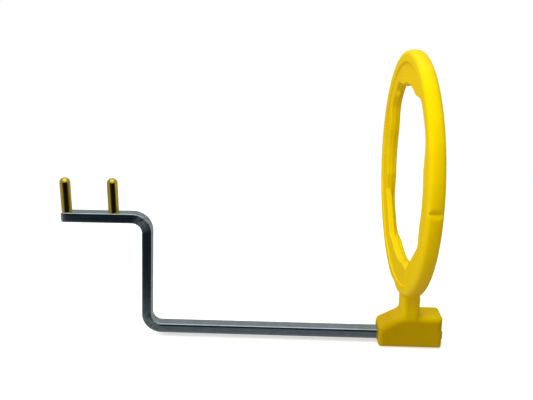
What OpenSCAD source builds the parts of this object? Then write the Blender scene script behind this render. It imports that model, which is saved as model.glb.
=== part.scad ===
// Indicator arm for a dental X-ray film or sensor positioner, with its sliding aiming ring.
// Two pins on the short upper arm carry a bite block. The ring slides along the long lower leg.
// Millimetres. +X runs along the lower leg, from the riser to the free end. +Z is up along the pins.
// The origin is midway between the two pins, on the upper arm's top face.

/* [Bar] */
// Depth of the bar, from front to back
bar_depth = 4; // [3.4:0.1:4.8]
// Thickness of the bar, in the plane of its two bends
bar_thick = 3.4; // [2.8:0.1:4]
// Inside radius of both bends
bend_inner_r = 3.2; // [2:0.1:5]
// Length of the upper arm, from the riser's centre line to the tip
upper_len = 29.7; // [29.7:0.1:36]
// Height of the upper arm's centre line above the lower leg's
riser_height = 41; // [30:0.5:55]
// Lean of the riser towards the ring, in degrees
riser_lean = 2.2; // [0:0.1:5]
// Length of the lower leg, from the riser's centre line to the free end
leg_len = 104; // [95:0.5:130]

/* [Pins] */
// Diameter of a pin
pin_d = 3.6; // [3:0.1:3.8]
// Height of a pin above the arm, with its domed end
pin_height = 12; // [8:0.5:16]
// Distance between the two pins
pin_spacing = 16.2; // [12:0.1:16.2]
// Distance from the riser's centre line to the inner pin
inner_pin_from_riser = 11.6; // [10:0.1:11.6]
// Diameter of the reduced end that is pressed into the arm
spigot_d = 2.2; // [1.6:0.1:2.4]
// Depth of that end in the arm
spigot_depth = 2.4; // [1.6:0.1:2.6]

/* [Ring] */
// Outside diameter of the ring
ring_od = 80; // [78:0.5:84]
// Width of the rim, along the leg
rim_width = 4.7; // [4.3:0.1:5.6]
// Radius on the rim's outer edges
rim_round_r = 1.5; // [0.8:0.1:2.1]
// Inside radius of the raised lips, where a round collimator is centred
lip_inner_r = 36; // [35.5:0.1:37]
// Depth of the web's two faces below the lips
web_recess = 0.45; // [0.2:0.05:0.8]
// Radius of the round window
window_r = 29.1; // [28.5:0.1:30]
// Radius of the window's four corner pockets
pocket_r = 32.7; // [31.5:0.1:33.5]
// Distance from the ring's centre to the pockets' upright sides
pocket_side = 27.9; // [27:0.1:28.4]
// Distance from the ring's centre to the pockets' level sides
pocket_level = 27.4; // [27:0.1:28.4]
// Height of the ring's centre above the leg's centre line
ring_height = 58.2; // [56:0.1:62]

/* [Ring details] */
// Angle of the small tooth in each upper pocket, above the level
tooth_angle = 43.5; // [40:0.5:50]
// Reach of a tooth into its pocket
tooth_reach = 0.8; // [0.5:0.1:2]
// Width of a tooth at its root
tooth_root_w = 3.8; // [2:0.1:5]
// Width of a tooth at its tip
tooth_tip_w = 1.2; // [0.6:0.1:1.8]
// Distance from the ring's centre to the slanting edge of each lower pocket's ledge
ledge_from_centre = 29.6; // [29.2:0.1:31]
// Width of the sighting groove across each side of the rim
groove_w = 2.8; // [2:0.1:5]
// Depth of that groove
groove_deep = 0.9; // [0.5:0.1:1.6]

/* [Hub] */
// Length of the hub, along the leg
hub_len = 21.5; // [18:0.5:26]
// Depth of the hub, from front to back
hub_depth = 9.8; // [8:0.1:12]
// Height of the hub's top above the leg's centre line
hub_top = 8.1; // [6:0.1:9]
// Height of the hub's top at the end that faces the riser
hub_nose_top = 3.9; // [2.6:0.1:5]
// Depth of the hub's underside below the leg's centre line
hub_bottom = 3.3; // [3:0.1:5]
// Radius on the hub's two upper long edges
hub_top_edge_r = 1.9; // [1.4:0.1:2.8]
// Radius on the hub's two lower long edges
hub_low_edge_r = 1.2; // [0.4:0.1:1.4]
// Length of the hub's sloping top
hub_slope_len = 7.6; // [4:0.1:8]
// Clearance between the leg and each side of the hub's bore
bore_gap = 0.05; // [0.02:0.01:0.1]
// Length of leg that shows past the hub
leg_showing = 1; // [0:0.1:8]

/* [Neck] */
// Width of the neck, along the leg
neck_w = 5.6; // [4:0.1:7]
// Depth of the neck, from front to back
neck_depth = 9; // [6:0.1:9.4]
// Radius of the neck's flare into the rim, to the front and back
neck_flare_r = 10; // [8:0.5:14]
// Distance from the neck's centre line to the ring's mid-plane
neck_offset = 4; // [2:0.1:4.4]

/* [Hidden] */
$fn = 96;
cut = 1;
bend_steps = 16;
mid_bend_r = bend_inner_r + bar_thick / 2;
leg_z = -riser_height - bar_thick / 2;
upper_z = -bar_thick / 2;
riser_top_x = pin_spacing / 2 + inner_pin_from_riser;
riser_foot_x = riser_top_x - riser_height * tan(riser_lean);
tip_x = riser_top_x - upper_len;
leg_end_x = riser_foot_x + leg_len;
bend_turn = 90 + riser_lean;
bend_setback = mid_bend_r * tan(bend_turn / 2);
hub_end_x = leg_end_x - leg_showing;
hub_start_x = hub_end_x - hub_len;
neck_x = hub_start_x + hub_len / 2;
ring_x = neck_x - neck_offset;
ring_r = ring_od / 2;
ring_z = leg_z + ring_height;

// Points along an arc, with angles counted from +X towards +Z
function arc(centre, r, from, to) = [
    for (step = [0:bend_steps])
        let (angle = from + (to - from) * step / bend_steps)
            centre + r * [cos(angle), sin(angle)]
];

// The bar's side outline, clockwise from the tip's top corner
module bar_side() {
    inner = mid_bend_r - bar_thick / 2;
    outer = mid_bend_r + bar_thick / 2;
    top_centre = [riser_top_x - bend_setback, upper_z - mid_bend_r];
    foot_centre = [riser_foot_x + bend_setback, leg_z + mid_bend_r];
    polygon(concat(
        [[tip_x, 0]],
        arc(top_centre, outer, 90, -riser_lean),
        arc(foot_centre, inner, 180 - riser_lean, 270),
        [[leg_end_x, leg_z + bar_thick / 2], [leg_end_x, leg_z - bar_thick / 2]],
        arc(foot_centre, outer, 270, 180 - riser_lean),
        arc(top_centre, inner, -riser_lean, 90),
        [[tip_x, -bar_thick]]
    ));
}

// Extrudes a side outline, with x and z as drawn, through the given depth
module across_leg(depth) {
    rotate([90, 0, 0])
        linear_extrude(depth, center = true)
            children();
}

module arm_bar() {
    color("slategray")
        difference() {
            across_leg(bar_depth)
                bar_side();
            for (side = [-1, 1])
                translate([side * pin_spacing / 2, 0, -spigot_depth])
                    cylinder(d = spigot_d, h = spigot_depth + cut);
        }
}

// Rectangle with rounded corners, centred
module rounded_rectangle(width, height, r) {
    square([width - 2 * r, height], center = true);
    square([width, height - 2 * r], center = true);
    for (side = [-1, 1])
        for (end = [-1, 1])
            translate([side * (width / 2 - r), end * (height / 2 - r)])
                circle(r);
}

// Pin with a domed end above the arm and a reduced end inside it
module bite_pin() {
    straight = pin_height - pin_d / 2;
    translate([0, 0, -spigot_depth])
        cylinder(d = spigot_d, h = spigot_depth + pin_d / 4);
    cylinder(d = pin_d, h = straight);
    translate([0, 0, straight])
        sphere(d = pin_d);
}

module outer_pin() {
    color("goldenrod")
        translate([-pin_spacing / 2, 0, 0])
            bite_pin();
}

module inner_pin() {
    color("goldenrod")
        translate([pin_spacing / 2, 0, 0])
            bite_pin();
}

// Extrudes a shape drawn in the ring's plane, with y to the left and z up, through the given width
module across_ring(width) {
    rotate([90, 0, 90])
        linear_extrude(width, center = true)
            children();
}

// Half of the rim's and web's section, with the ring's axis along y
module ring_section() {
    web_w = rim_width - 2 * web_recess;
    outer_x = ring_r - rim_round_r;
    outer_y = rim_width / 2 - rim_round_r;
    translate([window_r, -web_w / 2])
        square([outer_x - window_r, web_w]);
    translate([lip_inner_r, -rim_width / 2])
        square([outer_x - lip_inner_r, rim_width]);
    translate([outer_x, -outer_y])
        square([rim_round_r, 2 * outer_y]);
    for (side = [-1, 1])
        translate([outer_x, side * outer_y])
            circle(rim_round_r);
}

// Tooth that stands into one corner pocket from the pocket's outer wall
module pocket_tooth() {
    polygon([
        [pocket_r + cut, -tooth_root_w / 2],
        [pocket_r, -tooth_root_w / 2],
        [pocket_r - tooth_reach, -tooth_tip_w / 2],
        [pocket_r - tooth_reach, tooth_tip_w / 2],
        [pocket_r, tooth_root_w / 2],
        [pocket_r + cut, tooth_root_w / 2]
    ]);
}

// The four corner pockets, which seat a rectangular collimator
module corner_pockets() {
    difference() {
        intersection() {
            circle(pocket_r);
            square([2 * pocket_side, 2 * pocket_level], center = true);
        }
        for (angle = [tooth_angle, 180 - tooth_angle])
            rotate(angle)
                pocket_tooth();
    }
}

// The ledge that fills one lower pocket on the side that faces the riser
module pocket_ledge(side) {
    slant = ledge_from_centre * sqrt(2);
    far_y = pocket_side + cut;
    far_z = pocket_level + cut;
    intersection() {
        circle(pocket_r + cut);
        polygon([
            [side * far_y, far_y - slant],
            [side * (slant - far_z), -far_z],
            [side * far_y, -far_z]
        ]);
    }
}

module lower_ledges() {
    ledge_w = rim_width / 2 - web_recess;
    translate([-ledge_w / 2, 0, 0])
        across_ring(ledge_w)
            for (side = [-1, 1])
                pocket_ledge(side);
}

// V-shaped sighting grooves across the rim, level with the ring's centre
module sighting_grooves() {
    for (side = [-1, 1])
        translate([side * ring_r, 0])
            polygon([
                [-side * groove_deep, 0],
                [side * cut, groove_w / 2 * (1 + cut / groove_deep)],
                [side * cut, -groove_w / 2 * (1 + cut / groove_deep)]
            ]);
}

module ring_body() {
    difference() {
        rotate([0, 90, 0])
            rotate_extrude()
                ring_section();
        across_ring(rim_width + 2 * cut)
            corner_pockets();
        across_ring(rim_width + 2 * cut)
            sighting_grooves();
    }
    lower_ledges();
}

// Side outline of the hub, with x along the leg and y up from its centre line
module hub_side() {
    polygon([
        [hub_start_x, -hub_bottom],
        [hub_end_x, -hub_bottom],
        [hub_end_x, hub_top],
        [hub_start_x + hub_slope_len, hub_top],
        [hub_start_x, hub_nose_top]
    ]);
}

// Side outline of the neck, which leans over to meet the ring's outer lip
module neck_side() {
    rim_low = ring_height - ring_r;
    neck_top = ring_height - lip_inner_r - cut;
    polygon([
        [neck_x - neck_w / 2, hub_top - cut],
        [neck_x + neck_w / 2, hub_top - cut],
        [neck_x + neck_w / 2, rim_low - cut],
        [ring_x + rim_width / 2, neck_top],
        [ring_x, neck_top],
        [ring_x, rim_low + cut],
        [neck_x - neck_w / 2, rim_low - cut]
    ]);
}

// Outline of the neck seen along the leg, with y to the left and z up from the leg's centre line
module neck_front() {
    flare_y = neck_depth / 2 + neck_flare_r;
    reach = ring_r + neck_flare_r;
    flare_z = ring_height - sqrt(reach * reach - flare_y * flare_y);
    flare_end = 90 + asin(flare_y / reach);
    neck_top = ring_height - lip_inner_r - cut;
    tip_y = ring_r * flare_y / reach;
    polygon(concat(
        [[-neck_depth / 2, hub_top - cut], [neck_depth / 2, hub_top - cut]],
        arc([flare_y, flare_z], neck_flare_r, 180, flare_end),
        [[tip_y, neck_top], [-tip_y, neck_top]],
        arc([-flare_y, flare_z], neck_flare_r, 180 - flare_end, 0)
    ));
}

module neck_body() {
    intersection() {
        across_leg(2 * (neck_depth + neck_flare_r))
            translate([0, leg_z])
                neck_side();
        translate([neck_x, 0, leg_z])
            across_ring(hub_len)
                neck_front();
    }
}

// The hub's section, with its upper edges rounded more than its lower ones
module hub_section() {
    hub_height = hub_top + hub_bottom;
    rounded_rectangle(hub_height, hub_depth, hub_top_edge_r);
    translate([hub_height / 4, 0])
        rounded_rectangle(hub_height / 2, hub_depth, hub_low_edge_r);
}

module hub_body() {
    intersection() {
        across_leg(hub_depth)
            translate([0, leg_z])
                hub_side();
        translate([hub_start_x, 0, leg_z + (hub_top - hub_bottom) / 2])
            rotate([0, 90, 0])
                linear_extrude(hub_len)
                    hub_section();
    }
}

module hub_bore() {
    translate([hub_start_x - cut, 0, leg_z])
        rotate([0, 90, 0])
            linear_extrude(hub_len + 2 * cut)
                square([bar_thick + 2 * bore_gap, bar_depth + 2 * bore_gap], center = true);
}

module aiming_ring() {
    color("gold")
        difference() {
            union() {
                translate([ring_x, 0, ring_z])
                    ring_body();
                neck_body();
                hub_body();
            }
            hub_bore();
        }
}

arm_bar();
outer_pin();
inner_pin();
aiming_ring();
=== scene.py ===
import math

import bpy
import numpy as np
from mathutils import Matrix, Vector


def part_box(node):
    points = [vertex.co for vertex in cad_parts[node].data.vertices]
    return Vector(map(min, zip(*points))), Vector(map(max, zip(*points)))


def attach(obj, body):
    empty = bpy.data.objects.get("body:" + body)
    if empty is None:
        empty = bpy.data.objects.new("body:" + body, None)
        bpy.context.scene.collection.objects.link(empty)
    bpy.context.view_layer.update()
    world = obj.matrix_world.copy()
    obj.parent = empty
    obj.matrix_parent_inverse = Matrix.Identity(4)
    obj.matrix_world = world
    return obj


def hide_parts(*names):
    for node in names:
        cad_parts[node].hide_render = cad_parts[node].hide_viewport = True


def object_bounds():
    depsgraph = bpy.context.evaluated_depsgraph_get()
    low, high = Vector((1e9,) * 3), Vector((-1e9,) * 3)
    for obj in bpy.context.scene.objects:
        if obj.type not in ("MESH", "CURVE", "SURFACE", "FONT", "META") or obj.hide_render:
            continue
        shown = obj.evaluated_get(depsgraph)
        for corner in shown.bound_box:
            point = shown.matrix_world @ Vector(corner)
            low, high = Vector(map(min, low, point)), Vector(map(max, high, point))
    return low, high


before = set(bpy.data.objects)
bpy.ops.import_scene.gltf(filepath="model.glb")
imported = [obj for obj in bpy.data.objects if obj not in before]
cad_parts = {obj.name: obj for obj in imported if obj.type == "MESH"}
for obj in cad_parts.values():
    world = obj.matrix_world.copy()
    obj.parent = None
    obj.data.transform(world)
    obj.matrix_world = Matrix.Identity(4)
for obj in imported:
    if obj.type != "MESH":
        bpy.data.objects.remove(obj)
cad_low, cad_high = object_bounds()
part_middle = (cad_low + cad_high) / 2

MM = 0.001

# The part's lengths are in millimetres. The camera's, the lights' and the floor's are in metres.

# Bar: its section, its bends and its rounded ends
BAR_THICK = 3.4
BAR_DEPTH = 4.0
BAR_EDGE_R = 0.32
BAR_MIN_EDGE_R = 0.05
BAR_END_R = 0.9
BEND_INNER_R = 3.2
BEND_PINCH = 0.05
RISER_LEAN = math.radians(2.2)
INNER_PIN_FROM_RISER = 11.6
BEND_STEPS = 28
CORNER_STEPS = 6
FLAT_STEPS = 4
END_STEPS = 4
STATION_GAP = 1.2

# Pins
PIN_R = 1.8
SPIGOT_R = 1.1
PIN_FOOT_CHAMFER = 0.15
PIN_FOOT_GAP = 0.05
PIN_STEPS = 96
SHAFT_STEPS = 12
DOME_STEPS = 20

# Ring: its rim, its web, its sighting grooves and the steps in its window's wall
RING_R = 40.0
RIM_HALF_W = 2.35
RIM_ROUND_R = 1.0
RIM_CROWN = 0.55
LIP_INNER_R = 36.0
LIP_EDGE_R = 0.35
WEB_RECESS = 0.6
WEB_FILLET_R = 0.25
GROOVE_W = 2.8
GROOVE_DEEP = 0.9
GROOVE_EDGE_R = 0.25
WALL_STEP = 0.22
WALL_STEP_HALF_W = 0.55

# Window: its circle, and its corner pockets, with a tooth in the upper two and a ledge in the lower two
WINDOW_R = 29.1
WINDOW_EDGE_R = 0.6
POCKET_R = 32.7
POCKET_SIDE = 27.9
POCKET_LEVEL = 27.4
POCKET_SQUARE_R = 0.1
POCKET_CORNER_R = 0.8
TOOTH_ANGLE = math.radians(43.5)
TOOTH_REACH = 0.7
TOOTH_ROOT = 1
TOOTH_HALF_W = 1.4
TOOTH_HALF_THICK = 0.8
TOOTH_ROUND_R = 0.6
TOOTH_EDGE_R = 0.5
TOOTH_FOOT_R = 0.1
LEDGE_FROM_CENTRE = 29.6
LEDGE_EDGE_R = 0.3

# Hub, with heights from the leg's axis
HUB_BOTTOM = 3.3
HUB_TOP = 8.1
HUB_NOSE_TOP = 3.9
HUB_SLOPE_LEN = 7.6
HUB_HALF_DEPTH = 4.9
HUB_TOP_EDGE_R = 1.9
HUB_LOW_EDGE_R = 1.2
HUB_END_EDGE_R = 0.9
HUB_FILLET_R = 1.4
BORE_GAP = 0.06
BORE_EDGE_R = 0.2

# Neck, and the cut that trims the rim above it. The ring's plane is NECK_OFFSET from the hub's middle.
NECK_OFFSET = 4.0
NECK_HALF_W = 3.05
NECK_SHIFT = -0.2
NECK_HALF_DEPTH = 4.5
NECK_CORNER_R = 1.6
NECK_TAPER = math.radians(35)
NECK_FLARE_R = 10.0
NECK_IN_RIM = 2.2
NECK_SLOPE_H = 4.0
NECK_SLOPE_ROUND_R = 1.6
NECK_FILLET_R = 2.0
NECK_SINK = 1.0
NECK_SINK_FADE = 0.6
RIM_CUT_H = 1.0
RIM_CUT_DROP = 1.2
RIM_CUT_ROUND_R = 1.5
RIM_CUT_FADE = 0.03

# The moulding's mesh
MESH_STEP = 0.34
SETTLE_ROUNDS = 3
RELAX_ROUNDS = 3
RESETTLE_ROUNDS = 2
MIN_SLOPE_SQUARED = 0.25

# Places on the part. The neck's heights are from the leg's axis.
hub_low, hub_high = (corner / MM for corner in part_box("aiming_ring"))
pin_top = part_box("outer_pin")[1].z / MM
leg_z = hub_low.z + HUB_BOTTOM
ring_z = hub_high.z - RING_R
neck_x = (hub_low.x + hub_high.x) / 2
ring_x = neck_x - NECK_OFFSET
ring_height = ring_z - leg_z
neck_top_z = ring_height - RING_R + NECK_IN_RIM
flare_drop = math.sqrt((RING_R + NECK_FLARE_R) ** 2 - (NECK_HALF_DEPTH + NECK_FLARE_R) ** 2)
flare_z = ring_height - flare_drop
flare_rise = flare_drop * NECK_FLARE_R / (RING_R + NECK_FLARE_R)


# ---------------------------------------------------------------- meshes

def make_piece(name, points_mm, faces, material, body, node):
    """Makes a smooth piece from points in millimetres, in place of a CAD node."""
    mesh = bpy.data.meshes.new(name)
    mesh.from_pydata((np.asarray(points_mm) * MM).tolist(), [], faces)
    mesh.validate()
    mesh.polygons.foreach_set("use_smooth", [True] * len(mesh.polygons))
    mesh.materials.append(material)
    piece = bpy.data.objects.new(name, mesh)
    bpy.context.scene.collection.objects.link(piece)
    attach(piece, body)
    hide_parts(node)
    return piece


def skin_rows(row_count, row_len):
    """Quads between closed rows of points, with a flat cap on the first and last row."""
    faces = [list(range(row_len))[::-1]]
    for row in range(row_count - 1):
        for col in range(row_len):
            here, there = row * row_len, (row + 1) * row_len
            after = (col + 1) % row_len
            faces.append([here + col, here + after, there + after, there + col])
    faces.append(list(range((row_count - 1) * row_len, row_count * row_len)))
    return faces


def bar_section(inset):
    """The bar's rounded cross-section, as (across the bend, along y) pairs going round."""
    half = np.array([BAR_THICK, BAR_DEPTH]) / 2 - inset
    radius = max(BAR_EDGE_R - inset, BAR_MIN_EDGE_R)
    arcs = []
    for quarter in range(4):
        angles = math.pi / 2 * (quarter + np.linspace(0, 1, CORNER_STEPS + 1))
        mid_angle = angles[CORNER_STEPS // 2]
        side = np.sign([math.cos(mid_angle), math.sin(mid_angle)])
        arcs.append(side * (half - radius) + radius * np.stack([np.cos(angles), np.sin(angles)], 1))
    points = []
    for arc, following in zip(arcs, arcs[1:] + arcs[:1]):
        flat = np.linspace(arc[-1], following[0], FLAT_STEPS + 1)[1:-1]
        points.extend([*arc, *flat])
    return np.array(points)


def bar_stations(tip_x, end_x, riser_top_x, upper_z, lower_z):
    """Stations along the bar's centre line: (x, z, heading, inset, bend). bend is above 0 for a turn up."""
    mid_r = BEND_INNER_R + BAR_THICK / 2
    turn = math.pi / 2 + RISER_LEAN
    setback = mid_r * math.tan(turn / 2)
    riser_foot_x = riser_top_x - (upper_z - lower_z) * math.tan(RISER_LEAN)
    riser_way = setback * np.array([math.sin(RISER_LEAN), math.cos(RISER_LEAN)])

    def straight(start, finish, heading):
        count = max(2, round(math.dist(start, finish) / STATION_GAP))
        return [(x, z, heading, 0.0, 0.0) for x, z in np.linspace(start, finish, count + 1)]

    def bend(centre, first, last, side):
        stations = []
        for way in np.linspace(0, 1, BEND_STEPS + 1)[1:-1]:
            angle = first + (last - first) * way
            x = centre[0] + mid_r * math.cos(angle)
            z = centre[1] + mid_r * math.sin(angle)
            stations.append((x, z, angle + side * math.pi / 2, 0.0, side * math.sin(math.pi * way)))
        return stations

    def rounded_end(x, z, inward):
        stations = []
        for angle in np.linspace(0, math.pi / 2, END_STEPS + 1)[:-1]:
            along = BAR_END_R * (1 - math.cos(angle))
            stations.append((x + inward * along, z, 0.0, BAR_END_R * (1 - math.sin(angle)), 0.0))
        return stations

    return [
        *rounded_end(tip_x, upper_z, 1),
        *straight((tip_x + BAR_END_R, upper_z), (riser_top_x - setback, upper_z), 0.0),
        *bend((riser_top_x - setback, upper_z - mid_r), math.pi / 2, math.pi / 2 - turn, -1),
        *straight((riser_top_x, upper_z) - riser_way, (riser_foot_x, lower_z) + riser_way, -turn),
        *bend((riser_foot_x + setback, lower_z + mid_r), math.pi - RISER_LEAN, 1.5 * math.pi, 1),
        *straight((riser_foot_x + setback, lower_z), (end_x - BAR_END_R, lower_z), 0.0),
        *rounded_end(end_x, lower_z, -1)[::-1],
    ]


def make_bar(material):
    """The cranked bar: its section swept along its centre line, a little fuller inside each bend."""
    low, high = (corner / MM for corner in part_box("arm_bar"))
    pin_low, pin_high = (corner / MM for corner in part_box("inner_pin"))
    riser_top_x = (pin_low.x + pin_high.x) / 2 + INNER_PIN_FROM_RISER
    stations = bar_stations(low.x, high.x, riser_top_x, high.z - BAR_THICK / 2, low.z + BAR_THICK / 2)
    points, lengths = [], [0.0]
    for x, z, heading, inset, bend in stations:
        section = bar_section(inset)
        across, depth = section[:, 0], section[:, 1]
        depth = depth * (1 + BEND_PINCH * bend * across / (BAR_THICK / 2))
        points.append(np.stack([x - across * math.sin(heading), depth, z + across * math.cos(heading)], 1))
    for before, after in zip(stations, stations[1:]):
        lengths.append(lengths[-1] + math.dist(before[:2], after[:2]))
    row_len = len(points[0])
    faces = [face[::-1] for face in skin_rows(len(stations), row_len)]
    points = np.concatenate(points)
    bar = make_piece("arm_bar_swept", points, faces, material, "arm", "arm_bar")
    add_run_map(bar.data, lengths, row_len)
    add_bend_share(bar.data, stations, row_len)


def add_bend_share(mesh, stations, row_len):
    """A point attribute for the bends' duller finish: 1 in the middle of each bend, 0 on the straights."""
    layer = mesh.attributes.new("bend", "FLOAT", "POINT")
    for index, point in enumerate(layer.data):
        point.value = abs(stations[index // row_len][4])


def add_run_map(mesh, lengths, row_len):
    """A UV map in millimetres, for streaks that follow the bends: u along the bar, v round its section."""
    layer = mesh.uv_layers.new(name="run")
    perimeter = 2 * (BAR_THICK + BAR_DEPTH)
    for polygon in mesh.polygons:
        columns = [mesh.loops[i].vertex_index % row_len for i in polygon.loop_indices]
        wraps = max(columns) - min(columns) > row_len / 2
        for loop_index, column in zip(polygon.loop_indices, columns):
            row = mesh.loops[loop_index].vertex_index // row_len
            if wraps and column < row_len / 2:
                column += row_len
            layer.data[loop_index].uv = (lengths[row], column / row_len * perimeter)


def make_pin(node, material):
    """A turned pin: pressed-in end, small foot chamfer, shaft and domed top."""
    low, high = (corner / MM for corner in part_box(node))
    centre_x = (low.x + high.x) / 2
    dome_z = high.z - PIN_R
    profile = [(SPIGOT_R, low.z), (SPIGOT_R, 0.0)]
    profile += [(PIN_R - PIN_FOOT_CHAMFER, 0.0), (PIN_R, PIN_FOOT_CHAMFER)]
    profile += [(PIN_R, z) for z in np.linspace(PIN_FOOT_CHAMFER + PIN_FOOT_GAP, dome_z, SHAFT_STEPS)]
    for angle in np.linspace(0, math.pi / 2, DOME_STEPS + 1)[1:-1]:
        profile.append((PIN_R * math.cos(angle), dome_z + PIN_R * math.sin(angle)))
    tip_r = PIN_R * math.sin(math.pi / 2 / DOME_STEPS / 4)
    profile.append((tip_r, high.z))
    around = np.linspace(0, 2 * math.pi, PIN_STEPS, endpoint=False)
    rows = [
        np.stack([centre_x + r * np.cos(around), r * np.sin(around), np.full(PIN_STEPS, z)], 1)
        for r, z in profile
    ]
    faces = skin_rows(len(profile), PIN_STEPS)
    make_piece(node + "_turned", np.concatenate(rows), faces, material, "arm", node)


# ---------------------------------------------------------------- solid shapes as distance fields

def round_and(a, b, radius):
    """Intersection of two distance fields, with the edge between them rounded."""
    corner = np.hypot(np.maximum(a + radius, 0), np.maximum(b + radius, 0))
    return np.minimum(-radius, np.maximum(a, b)) + corner


def round_or(a, b, radius):
    """Union of two distance fields, with a fillet between them."""
    corner = np.hypot(np.maximum(radius - a, 0), np.maximum(radius - b, 0))
    return np.maximum(radius, np.minimum(a, b)) - corner


def box_2d(a, b, half_a, half_b, radius):
    """Distance to a rounded rectangle."""
    da = np.abs(a) - half_a + radius
    db = np.abs(b) - half_b + radius
    outside = np.hypot(np.maximum(da, 0), np.maximum(db, 0))
    return outside + np.minimum(np.maximum(da, db), 0) - radius


def window_field(x, y, z):
    """The window: a circle with four corner pockets, teeth in the upper two and ledges in the lower two."""
    reach = np.hypot(y, z)
    square = box_2d(y, z, POCKET_SIDE, POCKET_LEVEL, POCKET_SQUARE_R)
    pockets = round_and(reach - POCKET_R, square, POCKET_CORNER_R)
    tooth_y, tooth_z = math.cos(TOOTH_ANGLE), math.sin(TOOTH_ANGLE)
    along = np.abs(y) * tooth_y + np.abs(z) * tooth_z
    aside = -np.abs(y) * tooth_z + np.abs(z) * tooth_y
    out = along - POCKET_R - TOOTH_ROOT
    tooth = box_2d(out, aside, TOOTH_REACH + TOOTH_ROOT, TOOTH_HALF_W, TOOTH_ROUND_R)
    tooth = round_and(tooth, np.abs(x) - TOOTH_HALF_THICK, TOOTH_EDGE_R)
    tooth = round_and(tooth, -z, TOOTH_FOOT_R)
    pockets = round_and(pockets, -tooth, TOOTH_EDGE_R)
    slant = (np.abs(y) - z) / math.sqrt(2) - LEDGE_FROM_CENTRE
    ledge = np.maximum(np.maximum(-slant, z), x)
    pockets = round_and(pockets, -ledge, LEDGE_EDGE_R)
    rib = WALL_STEP * np.exp(-(x / WALL_STEP_HALF_W) ** 2)
    return np.minimum(reach - WINDOW_R, pockets) + rib


def ring_field(x, y, z):
    """Rim, web and window, with the sighting grooves cut across the rim."""
    reach = np.hypot(y, z)
    mid = (RING_R + LIP_INNER_R) / 2
    half = (RING_R - LIP_INNER_R) / 2
    crown = RIM_CROWN * (x / RIM_HALF_W) ** 2
    outer = box_2d(reach - mid + crown, x, half, RIM_HALF_W, RIM_ROUND_R)
    inner = box_2d(reach - mid, x, half, RIM_HALF_W, LIP_EDGE_R)
    rim = np.where(reach > mid, outer, inner)
    web = round_and(np.abs(x) - (RIM_HALF_W - WEB_RECESS), -window_field(x, y, z), WINDOW_EDGE_R)
    web = np.maximum(web, reach - mid)
    slope = math.atan2(GROOVE_W / 2, GROOVE_DEEP)
    groove = np.abs(z) * math.cos(slope) - (np.abs(y) - RING_R + GROOVE_DEEP) * math.sin(slope)
    return round_and(round_or(rim, web, WEB_FILLET_R), -groove, GROOVE_EDGE_R)


def hub_field(x, y, z):
    """The hub about the leg's axis, x from the hub's middle, with its sloping nose."""
    half_len = (hub_high.x - hub_low.x) / 2
    half_high, mid_z = (HUB_TOP + HUB_BOTTOM) / 2, (HUB_TOP - HUB_BOTTOM) / 2
    rise = HUB_TOP - HUB_NOSE_TOP
    slope_len = math.hypot(HUB_SLOPE_LEN, rise)
    slope = ((z - HUB_NOSE_TOP) * HUB_SLOPE_LEN - (x + half_len) * rise) / slope_len
    side = box_2d(x, z - mid_z, half_len, half_high, HUB_END_EDGE_R)
    side = round_and(side, slope, HUB_END_EDGE_R)
    edge_r = np.where(z > mid_z, HUB_TOP_EDGE_R, HUB_LOW_EDGE_R)
    return round_and(side, np.abs(y) - HUB_HALF_DEPTH, edge_r)


def neck_field(x, y, z):
    """The neck, x and y from the hub's middle, z from the leg's axis.

    It flares to the front and back into the rim, and its far side tapers where it flares. Its foot fades
    out inside the hub, so that no seam shows on the hub's faces.
    """
    rise = np.clip(z - flare_z, 0, flare_rise)
    flare = NECK_FLARE_R - np.sqrt(NECK_FLARE_R ** 2 - rise ** 2)
    x = x - NECK_SHIFT
    post = box_2d(x, y, NECK_HALF_W, NECK_HALF_DEPTH + flare, NECK_CORNER_R)
    aside, ahead = x - NECK_HALF_W, np.abs(y) - NECK_HALF_DEPTH
    taper = aside * math.cos(NECK_TAPER) + ahead * math.sin(NECK_TAPER)
    post = round_and(post, taper, NECK_CORNER_R)
    tilt = math.atan2(NECK_HALF_W + NECK_OFFSET - RIM_HALF_W, NECK_SLOPE_H)
    slope = aside * math.cos(tilt) + (z - neck_top_z + NECK_SLOPE_H) * math.sin(tilt)
    post = round_and(post, slope, NECK_SLOPE_ROUND_R)
    sunk = np.maximum(HUB_TOP - NECK_SINK - z, 0)
    return np.maximum(post, z - neck_top_z) + NECK_SINK_FADE * sunk


def rim_cut(x, y, z):
    """The slant that trims the rim's low edge past the neck's near face, fading to the front and back."""
    rim_face, neck_face = ring_x - RIM_HALF_W, neck_x + NECK_SHIFT - NECK_HALF_W
    rim_low = ring_z - RING_R
    tilt = math.atan2(neck_face - rim_face, RIM_CUT_H + RIM_CUT_DROP)
    slant = (rim_face - x) * math.cos(tilt) - (z - rim_low - RIM_CUT_H) * math.sin(tilt)
    return slant - RIM_CUT_FADE * y ** 2


def moulding_field(points):
    """Distance to the whole moulding, at points in millimetres."""
    x, y, z = points[..., 0], points[..., 1], points[..., 2]
    ring = round_and(ring_field(x - ring_x, y, z - ring_z), rim_cut(x, y, z), RIM_CUT_ROUND_R)
    neck = neck_field(x - neck_x, y, z - leg_z)
    hub = hub_field(x - neck_x, y, z - leg_z)
    body = round_or(round_or(ring, neck, NECK_FILLET_R), hub, HUB_FILLET_R)
    bore = box_2d(z - leg_z, y, BAR_THICK / 2 + BORE_GAP, BAR_DEPTH / 2 + BORE_GAP, BAR_EDGE_R)
    return round_and(body, -bore, BORE_EDGE_R)


def field_slopes(field, points):
    """The field's value and slope at each point."""
    reach = 0.02
    slopes = np.empty_like(points)
    for axis in range(3):
        step = np.zeros(3)
        step[axis] = reach
        slopes[:, axis] = (field(points + step) - field(points - step)) / (2 * reach)
    return field(points), slopes


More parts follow.
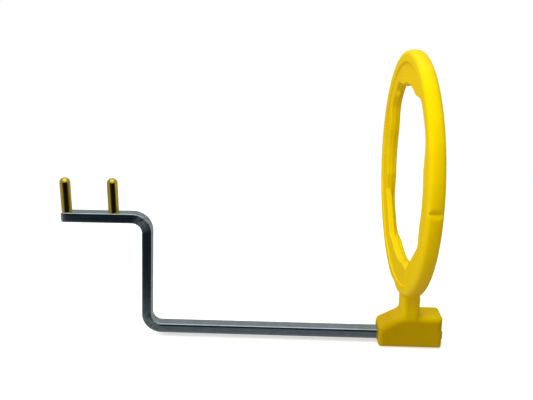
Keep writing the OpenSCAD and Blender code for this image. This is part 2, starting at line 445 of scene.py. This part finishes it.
def settle(field, points, rounds):
    """Moves points onto the field's surface."""
    for _ in range(rounds):
        value, slopes = field_slopes(field, points)
        size = np.maximum((slopes ** 2).sum(1), MIN_SLOPE_SQUARED)
        move = -(value / size)[:, None] * slopes
        points = points + np.clip(move, -MESH_STEP, MESH_STEP)
    return points


def relax(points, quads):
    """Moves each point halfway to the middle of its neighbours along the quads' edges."""
    total = np.zeros_like(points)
    count = np.zeros(len(points))
    for corner in range(4):
        a, b = quads[:, corner], quads[:, (corner + 1) % 4]
        for here, there in ((a, b), (b, a)):
            np.add.at(total, here, points[there])
            np.add.at(count, here, 1)
    return (points + total / count[:, None]) / 2


def surface_net(field, low, high, step):
    """Quads round the field's surface: a point per mixed cell of a grid, a quad per crossed grid edge."""
    shape = np.ceil((np.array(high) - low) / step).astype(int) + 1
    axes = [low[i] + step * np.arange(shape[i]) for i in range(3)]
    values = np.empty(shape)
    for layer, x in enumerate(axes[0]):
        y, z = np.meshgrid(axes[1], axes[2], indexing="ij")
        values[layer] = field(np.stack([np.full_like(y, x), y, z], -1))
    inside = values < 0
    corners = sum(
        inside[i:shape[0] - 1 + i, j:shape[1] - 1 + j, k:shape[2] - 1 + k].astype(np.int8)
        for i in (0, 1) for j in (0, 1) for k in (0, 1)
    )
    mixed = (corners > 0) & (corners < 8)
    index = np.full(mixed.shape, -1)
    index[mixed] = np.arange(mixed.sum())
    points = np.array(low) + step * (np.argwhere(mixed) + 0.5)
    quads = []
    for axis in range(3):
        ahead = np.roll(inside, -1, axis)
        along = np.arange(shape[axis]).reshape([-1 if i == axis else 1 for i in range(3)])
        crossed = np.argwhere((inside != ahead) & (along < shape[axis] - 1))
        one, two = np.eye(3, dtype=int)[(axis + 1) % 3], np.eye(3, dtype=int)[(axis + 2) % 3]
        around = [crossed - one - two, crossed - two, crossed, crossed - one]
        quad = np.stack([index[tuple(cell.T)] for cell in around], 1)
        flip = ~inside[tuple(crossed.T)]
        quad[flip] = quad[flip][:, ::-1]
        quads.append(quad)
    return points, np.concatenate(quads)


def make_moulding(material):
    """The ring, neck and hub as one mesh over the moulding's distance field."""
    margin = 2 * MESH_STEP
    low = np.array(hub_low) - margin
    high = np.array(hub_high) + margin
    low[1] = -RING_R - margin
    high[1] = RING_R + margin
    points, quads = surface_net(moulding_field, low, high, MESH_STEP)
    points = settle(moulding_field, points, SETTLE_ROUNDS)
    for _ in range(RELAX_ROUNDS):
        points = settle(moulding_field, relax(points, quads), RESETTLE_ROUNDS)
    faces = quads.tolist()
    make_piece("aiming_ring_moulding", points, faces, material, "ring", "aiming_ring")


# ---------------------------------------------------------------- materials

# Yellow plastic. The hub's tint is painted shade, darker where the light falls off low down. It fades out
# over the hub-shade fade distance either side of the hub's top.
PLASTIC_DARK, PLASTIC_LIGHT = (0.88, 0.62, 0.0, 1), (0.93, 0.69, 0.0, 1)
PLASTIC_HUB_PAINTED_SHADE = (0.66, 0.61, 1, 1)
HUB_SHADE_FADE = 2
PLASTIC_WORN = (1.0, 0.80, 0.10, 1)
# Painted shade: the colour that darkens the inside corners.
PLASTIC_CORNER_PAINTED_SHADE = (0.62, 0.30, 0.0, 1)
# Painted shade along the steps of the mould lines.
PLASTIC_LINE_PAINTED_SHADE = (0.60, 0.30, 0.0, 1)
PLASTIC_SCRATCH = (1.0, 0.84, 0.2, 1)
PLASTIC_SHINE = (1.0, 0.8, 0.2, 1)
PLASTIC_GLOW_REACH = (1.0, 0.6, 0.05)
PLASTIC_IOR = 1.3
PLASTIC_SPECULAR = (0.4, 0.06)
PLASTIC_ROUGH = (0.36, 0.46)
SCRATCH_ROUGH = 0.12
SCRATCH_STRETCH = (0.25, 0.9, 2.8)

# Mould lines: their gap, how far they wander, and how far from the lip and from the web's faces they fade
LINE_GAP = 1.15
LINE_WANDER = 1.2
LINE_LIP_FADE = (0.4, 0.2)
LINE_FACE_FADE = (0.35, 0.15)

# Bar steel. The streaks are long along the bar and narrow round it.
STEEL_DARK, STEEL_LIGHT = (0.53, 0.62, 0.65, 1), (0.65, 0.74, 0.76, 1)
STEEL_WORN = (0.9, 0.93, 0.95, 1)
STEEL_NICK = (0.07, 0.08, 0.09, 1)
STEEL_ROUGH = (0.08, 0.15)
BEND_ROUGH = 0.45
STREAK_STRETCH = (0.06, 4.0, 1.0)

# Pin brass, with rings that run round the pin
BRASS_DARK, BRASS_LIGHT = (0.86, 0.63, 0.06, 1), (0.98, 0.76, 0.11, 1)
# Painted dark reflection, redder, down the middle of each shaft where it faces the camera.
BRASS_PAINTED_REFLECTION = (0.56, 0.26, 0.05, 1)
BRASS_ROUGH = (0.08, 0.14)
RING_STRETCH = (0.05, 0.05, 9.0)


def add(tree, kind, links=None, **settings):
    """Adds a shader node. settings are its attributes; links maps input names to values or sockets."""
    node = tree.nodes.new(kind)
    for key, value in settings.items():
        setattr(node, key, value)
    for key, value in (links or {}).items():
        if isinstance(value, bpy.types.NodeSocket):
            tree.links.new(value, node.inputs[key])
        else:
            node.inputs[key].default_value = value
    return node


def new_material(name):
    """A material with an empty node tree."""
    material = bpy.data.materials.new(name)
    material.use_nodes = True
    material.node_tree.nodes.clear()
    return material, material.node_tree


def show(tree, shader):
    """Links a shader to the material's output."""
    add(tree, "ShaderNodeOutputMaterial", {"Surface": shader.outputs[0]})


def math_node(tree, operation, a, b=0.0):
    return add(tree, "ShaderNodeMath", {0: a, 1: b}, operation=operation).outputs[0]


def spread(tree, value, low, high, new_low, new_high):
    """Maps a value from one range to another, clamped."""
    links = {"Value": value, "From Min": low, "From Max": high, "To Min": new_low, "To Max": new_high}
    return add(tree, "ShaderNodeMapRange", links).outputs[0]


def share(tree, value, low, high, most=1):
    """A share that rises from 0 where the value is low to most where it is high."""
    return spread(tree, value, low, high, 0, most)


def noise(tree, vector, scale, detail, rough=0.5):
    links = {"Vector": vector, "Scale": scale, "Detail": detail, "Roughness": rough}
    return add(tree, "ShaderNodeTexNoise", links).outputs[0]


def mix_colour(tree, amount, a, b, blend="MIX"):
    links = {0: amount, 6: a, 7: b}
    return add(tree, "ShaderNodeMix", links, data_type="RGBA", blend_type=blend).outputs[2]


def place_mm(tree, stretch=(1, 1, 1)):
    """Object coordinates in millimetres, stretched along the axes."""
    coords = add(tree, "ShaderNodeTexCoord").outputs["Object"]
    scale = [s / MM for s in stretch]
    return add(tree, "ShaderNodeMapping", {"Vector": coords, "Scale": scale}).outputs[0]


def bump(tree, height, distance_mm, strength, under=None):
    """A bumped normal, over the one under it if there is one."""
    links = {"Height": height, "Distance": distance_mm * MM, "Strength": strength}
    if under is not None:
        links["Normal"] = under
    return add(tree, "ShaderNodeBump", links).outputs[0]


def moulding_lines(tree, place):
    """Fine steps left by the mould: rings on the web, and lines round the window's wall."""
    x, y, z = add(tree, "ShaderNodeSeparateXYZ", {0: place}).outputs
    drop = math_node(tree, "SUBTRACT", z, ring_z)
    y_squared, drop_squared = (math_node(tree, "MULTIPLY", side, side) for side in (y, drop))
    reach = math_node(tree, "SQRT", math_node(tree, "ADD", y_squared, drop_squared))
    wander = math_node(tree, "MULTIPLY", noise(tree, place, scale=0.25, detail=2), LINE_WANDER)
    on_web = spread(tree, reach, *(LIP_INNER_R - gap for gap in LINE_LIP_FADE), 1, 0)
    aside = math_node(tree, "ABSOLUTE", math_node(tree, "SUBTRACT", x, ring_x))
    on_wall = spread(tree, aside, *(RIM_HALF_W - WEB_RECESS - gap for gap in LINE_FACE_FADE), 1, 0)

    def waves(distance):
        moved = math_node(tree, "ADD", distance, wander)
        return math_node(tree, "SINE", math_node(tree, "MULTIPLY", moved, 2 * math.pi / LINE_GAP))

    height = add(tree, "ShaderNodeMix", {0: on_wall, 2: waves(reach), 3: waves(x)}).outputs[0]
    return math_node(tree, "MULTIPLY", height, on_web)


def yellow_plastic():
    """Moulded yellow plastic.

    It has slight flow clouds, mould lines with painted shade along their steps, a fine texture, scratches,
    lighter worn edges and painted shade in the inside corners. Painted shade makes the hub deeper in colour
    than the ring, where the light falls off low down, and it shines less at a glancing angle.
    """
    material, tree = new_material("moulded_yellow_plastic")
    place = place_mm(tree)
    clouds = noise(tree, place, scale=0.07, detail=3)
    grain = noise(tree, place, scale=6.0, detail=3)
    ripple = noise(tree, place, scale=0.45, detail=2)
    scratch_noise = noise(tree, place_mm(tree, SCRATCH_STRETCH), scale=1.3, detail=5, rough=0.7)
    scratches = share(tree, scratch_noise, 0.64, 0.72)
    lines = moulding_lines(tree, place)
    edge = add(tree, "ShaderNodeNewGeometry").outputs["Pointiness"]
    worn_share = share(tree, edge, 0.52, 0.6, most=0.22)
    # Painted shade in the inside corners, where Pointiness is low.
    corner_painted_shade = share(tree, edge, 0.49, 0.43, most=0.6)
    # Painted shade along the mould lines' steps; the lines' relief itself is the bump further down.
    line_painted_shade = share(tree, lines, 0.2, 1, most=0.09)
    scratch_share = share(tree, scratches, 0, 1, most=0.1)
    # Painted shade on the hub below the ring, where the light falls off, fading out about the hub's top.
    height = add(tree, "ShaderNodeSeparateXYZ", {0: place}).outputs[2]
    hub_top_z = leg_z + HUB_TOP
    hub_painted_shade = share(tree, height, hub_top_z + HUB_SHADE_FADE, hub_top_z - HUB_SHADE_FADE)

    base = mix_colour(tree, share(tree, clouds, 0.35, 0.65), PLASTIC_DARK, PLASTIC_LIGHT)
    base = mix_colour(tree, hub_painted_shade, base, PLASTIC_HUB_PAINTED_SHADE, "MULTIPLY")
    base = mix_colour(tree, worn_share, base, PLASTIC_WORN)
    base = mix_colour(tree, corner_painted_shade, base, PLASTIC_CORNER_PAINTED_SHADE)
    base = mix_colour(tree, line_painted_shade, base, PLASTIC_LINE_PAINTED_SHADE)
    base = mix_colour(tree, scratch_share, base, PLASTIC_SCRATCH)
    rough = spread(tree, ripple, 0.3, 0.7, *PLASTIC_ROUGH)
    rough = math_node(tree, "ADD", rough, math_node(tree, "MULTIPLY", scratches, SCRATCH_ROUGH))
    grained = bump(tree, grain, distance_mm=0.012, strength=0.5)
    lined = bump(tree, lines, distance_mm=0.03, strength=0.35, under=grained)
    rippled = bump(tree, ripple, distance_mm=0.05, strength=0.35, under=lined)
    facing = add(tree, "ShaderNodeLayerWeight", {"Blend": 0.5}).outputs["Facing"]
    show(tree, add(tree, "ShaderNodeBsdfPrincipled", {
        "Base Color": base,
        "Roughness": rough,
        "Normal": rippled,
        "Subsurface Weight": 0.1,
        "Subsurface Radius": PLASTIC_GLOW_REACH,
        "Subsurface Scale": 1.0 * MM,
        "IOR": PLASTIC_IOR,
        "Specular IOR Level": spread(tree, facing, 0.5, 0.8, *PLASTIC_SPECULAR),
        "Specular Tint": PLASTIC_SHINE,
    }))
    return material


def bar_steel():
    """Drawn and polished steel: streaks along the bar, dull mottled bends with nicks, bright worn edges."""
    material, tree = new_material("polished_bar_steel")
    place = place_mm(tree)
    run = add(tree, "ShaderNodeUVMap", uv_map="run").outputs[0]
    streak_place = add(tree, "ShaderNodeMapping", {"Vector": run, "Scale": STREAK_STRETCH}).outputs[0]
    streaks = noise(tree, streak_place, scale=1.0, detail=4, rough=0.6)
    patches = noise(tree, place, scale=0.3, detail=3, rough=0.55)
    mottle = noise(tree, place, scale=1.1, detail=4, rough=0.6)
    nicks = share(tree, noise(tree, place, scale=0.9, detail=3, rough=0.6), 0.54, 0.62, most=0.6)
    bend = add(tree, "ShaderNodeAttribute", attribute_name="bend").outputs["Fac"]
    nick_share = math_node(tree, "MULTIPLY", bend, nicks)
    worked = math_node(tree, "MULTIPLY", bend, spread(tree, mottle, 0.3, 0.6, 0.35, 1))
    edge = add(tree, "ShaderNodeNewGeometry").outputs["Pointiness"]
    worn_share = share(tree, edge, 0.53, 0.6, most=0.35)

    base = mix_colour(tree, share(tree, patches, 0.3, 0.7), STEEL_DARK, STEEL_LIGHT)
    base = mix_colour(tree, worn_share, base, STEEL_WORN)
    base = mix_colour(tree, nick_share, base, STEEL_NICK)
    rough = spread(tree, streaks, 0.3, 0.7, *STEEL_ROUGH)
    rough = math_node(tree, "ADD", rough, math_node(tree, "MULTIPLY", worked, BEND_ROUGH))
    patched = bump(tree, patches, distance_mm=0.04, strength=0.3)
    mottle_strength = math_node(tree, "MULTIPLY", bend, 0.8)
    mottled = bump(tree, mottle, distance_mm=0.03, strength=mottle_strength, under=patched)
    show(tree, add(tree, "ShaderNodeBsdfPrincipled", {
        "Base Color": base,
        "Metallic": 1.0,
        "Roughness": rough,
        "Normal": bump(tree, streaks, distance_mm=0.004, strength=0.5, under=mottled),
    }))
    return material


def pin_brass():
    """Polished turned brass: fine rings, faint smudges, and a painted darker, redder reflection where the
    shaft faces the camera.
    """
    material, tree = new_material("turned_pin_brass")
    place = place_mm(tree)
    rings = noise(tree, place_mm(tree, RING_STRETCH), scale=1.0, detail=2)
    smudges = noise(tree, place, scale=0.6, detail=4, rough=0.6)
    facing = add(tree, "ShaderNodeLayerWeight", {"Blend": 0.5}).outputs["Facing"]
    height = add(tree, "ShaderNodeSeparateXYZ", {0: place}).outputs[2]
    on_dome = share(tree, height, pin_top - PIN_R, pin_top - PIN_R / 2)
    # side is 0 in the painted dark reflection down the shaft's middle, and 1 at its edges and on the dome.
    side = math_node(tree, "MAXIMUM", share(tree, facing, 0.02, 0.3), on_dome)
    base = mix_colour(tree, share(tree, smudges, 0.3, 0.7), BRASS_DARK, BRASS_LIGHT)
    show(tree, add(tree, "ShaderNodeBsdfPrincipled", {
        "Base Color": mix_colour(tree, side, BRASS_PAINTED_REFLECTION, base),
        "Metallic": 1.0,
        "Roughness": spread(tree, smudges, 0.3, 0.7, *BRASS_ROUGH),
        "Normal": bump(tree, rings, distance_mm=0.003, strength=0.6),
    }))
    return material


# ---------------------------------------------------------------- studio

CAMERA_PLACE = Vector((0.06305, -0.20430, 0.07459))
CAMERA_YAW = math.radians(-2.7426)
CAMERA_PITCH = math.radians(15.6617)
CAMERA_ROLL = math.radians(0.2018)
CAMERA_NEAR = 0.01
SENSOR_MM = 36.0
LENS_MM = 43.36
LENS_SHIFT = (0.0383, -0.0647)

OVERHEAD_WATTS = 0.8
FRONT_WATTS = 0.27
LEFT_WATTS = 0.68
BACK_WATTS = 0.5
WHITE_LIGHT = (1, 1, 1)
COOL_LIGHT = (0.97, 1.0, 1.0)
COOLER_LIGHT = (0.9, 1.0, 1.0)

# The floor's size, its gap below the part, and the distances between which it fades, in metres
FLOOR_HALF = 1.0
FLOOR_GAP = 0.0002
FLOOR_FADE = (0.12, 0.3)
FLOOR_GLOW = 0.45

# World colours by height: 0 is straight down, 0.5 level and 1 straight up
TENT_TOP = (1.0, 1.02, 1.05)
OPENING_DARK = (0.008, 0.014, 0.021)
TENT_STOPS = [
    (0.0, (0.32, 0.32, 0.32)), (0.5, (0.32, 0.33, 0.33)), (0.85, (0.29, 0.3, 0.3)), (0.93, TENT_TOP),
]
OPENING_STOPS = [
    (0.0, (0.19, 0.21, 0.22)), (0.25, (0.14, 0.15, 0.16)), (0.274, OPENING_DARK), (0.6, OPENING_DARK),
    (0.93, TENT_TOP),
]
FILL_STOPS = [(0.0, (0.6, 0.55, 0.4)), (0.5, (0.47, 0.36, 0.22)), (1.0, (0.05, 0.05, 0.05))]

# The tent's dark opening: its turn from the front towards the ring, and the cosines between which it fades
OPENING_TURN = math.radians(20)
OPENING_FADE = (0.3, 0.75)

# A dim patch of the tent, low behind the part, which darkens the bar's outlines
DIM_PATCH = Vector((-0.1, 0.95, -0.3)).normalized()
DIM_FADE = (0.955, 0.985)
DIM_COLOUR = (0.06, 0.065, 0.07, 1)


def make_camera():
    """The camera that takes the picture, from the front and a little above, close to the part."""
    right = Vector((math.cos(CAMERA_YAW), -math.sin(CAMERA_YAW), 0))
    level = Vector((math.sin(CAMERA_YAW), math.cos(CAMERA_YAW), 0))
    forward = level * math.cos(CAMERA_PITCH) - Vector((0, 0, math.sin(CAMERA_PITCH)))
    up = right.cross(forward)
    rolled_right = right * math.cos(CAMERA_ROLL) + up * math.sin(CAMERA_ROLL)
    rolled_up = up * math.cos(CAMERA_ROLL) - right * math.sin(CAMERA_ROLL)
    turn = Matrix((rolled_right, rolled_up, -forward)).transposed().to_4x4()
    data = bpy.data.cameras.new("camera")
    data.sensor_width = SENSOR_MM
    data.lens = LENS_MM
    data.shift_x, data.shift_y = LENS_SHIFT
    data.clip_start = CAMERA_NEAR
    camera = bpy.data.objects.new("camera", data)
    camera.matrix_world = Matrix.Translation(CAMERA_PLACE) @ turn
    bpy.context.scene.collection.objects.link(camera)
    bpy.context.scene.camera = camera


def make_floor():
    """A pale floor under the part, which fades into the white backdrop further out."""
    half, z = FLOOR_HALF, cad_low.z - FLOOR_GAP
    corners = [(-half, -half, z), (half, -half, z), (half, half, z), (-half, half, z)]
    mesh = bpy.data.meshes.new("floor")
    mesh.from_pydata(corners, [], [(0, 1, 2, 3)])
    floor = bpy.data.objects.new("floor", mesh)
    bpy.context.scene.collection.objects.link(floor)
    material, tree = new_material("pale_floor")
    pale = add(tree, "ShaderNodeBsdfPrincipled", {
        "Base Color": (0.9, 0.9, 0.9, 1),
        "Roughness": 0.9,
        "Specular IOR Level": 0.1,
        "Emission Color": (1, 1, 1, 1),
        "Emission Strength": FLOOR_GLOW,
    })
    coords = add(tree, "ShaderNodeTexCoord").outputs["Object"]
    middle = (part_middle.x, part_middle.y, z)
    away = add(tree, "ShaderNodeVectorMath", {0: coords, 1: middle}, operation="DISTANCE").outputs[1]
    fade = share(tree, away, *FLOOR_FADE)
    clear = add(tree, "ShaderNodeBsdfTransparent")
    show(tree, add(tree, "ShaderNodeMixShader", {0: fade, 1: pale.outputs[0], 2: clear.outputs[0]}))
    mesh.materials.append(material)
    floor.visible_glossy = False
    floor.visible_diffuse = False


def add_softbox(name, place, aim, size, watts, colour):
    """A soft area light. Polished faces don't reflect it: they reflect the world's light tent."""
    data = bpy.data.lights.new(name, "AREA")
    data.shape = "RECTANGLE"
    data.size, data.size_y = size
    data.energy = watts
    data.color = colour
    light = bpy.data.objects.new(name, data)
    light.location = place
    light.rotation_euler = (Vector(aim) - Vector(place)).to_track_quat("-Z", "Y").to_euler()
    light.visible_glossy = False
    bpy.context.scene.collection.objects.link(light)


def make_lights():
    """Soft lights overhead, in front, to the left and behind."""
    add_softbox("overhead", (0.08, 0.0, 0.4), part_middle, (0.3, 0.3), OVERHEAD_WATTS, COOL_LIGHT)
    add_softbox("front", (0.09, -0.17, 0.22), (0.1, 0, 0), (0.25, 0.2), FRONT_WATTS, COOLER_LIGHT)
    add_softbox("left", (-0.2, -0.1, 0.15), part_middle, (0.25, 0.25), LEFT_WATTS, COOL_LIGHT)
    add_softbox("back", (0.05, 0.4, 0.3), part_middle, (0.3, 0.3), BACK_WATTS, WHITE_LIGHT)


def ramp(tree, value, stops):
    """A smooth run of greys or colours over a value, from (place, colour) pairs."""
    node = add(tree, "ShaderNodeValToRGB", {0: value})
    elements = node.color_ramp.elements
    while len(elements) < len(stops):
        elements.new(0.5)
    for element, (place, colour) in zip(elements, stops):
        element.position = place
        element.color = (*colour, 1)
    return node.outputs[0]


def make_world():
    """White to the camera, a dim warm fill to matt surfaces, and a light tent to polished ones.

    The tent is grey round the part and bright overhead. Its opening, in front, is dark but for the pale
    floor there, and a patch low behind the part is dim.
    """
    world = bpy.data.worlds.new("studio")
    bpy.context.scene.world = world
    world.use_nodes = True
    tree = world.node_tree
    tree.nodes.clear()
    way = add(tree, "ShaderNodeTexCoord").outputs["Generated"]
    level = share(tree, add(tree, "ShaderNodeSeparateXYZ", {0: way}).outputs[2], -1, 1)

    def near(aim, fade):
        toward = add(tree, "ShaderNodeVectorMath", {0: way, 1: aim}, operation="DOT_PRODUCT").outputs[1]
        return share(tree, toward, *fade)

    opening = near((math.sin(OPENING_TURN), -math.cos(OPENING_TURN), 0), OPENING_FADE)
    tent = mix_colour(tree, near(DIM_PATCH, DIM_FADE), ramp(tree, level, TENT_STOPS), DIM_COLOUR)
    glossy = mix_colour(tree, opening, tent, ramp(tree, level, OPENING_STOPS))
    fill = ramp(tree, level, FILL_STOPS)
    path = add(tree, "ShaderNodeLightPath").outputs
    felt = mix_colour(tree, path["Is Glossy Ray"], fill, glossy)
    seen = mix_colour(tree, path["Is Camera Ray"], felt, (1, 1, 1, 1))
    backdrop = add(tree, "ShaderNodeBackground", {"Color": seen, "Strength": 1.0})
    add(tree, "ShaderNodeOutputWorld", {"Surface": backdrop.outputs[0]})


# ---------------------------------------------------------------- the part and the picture

brass = pin_brass()
make_bar(bar_steel())
make_pin("outer_pin", brass)
make_pin("inner_pin", brass)
make_moulding(yellow_plastic())

make_floor()
make_lights()
make_world()
make_camera()
bpy.context.scene.view_settings.view_transform = "Standard"
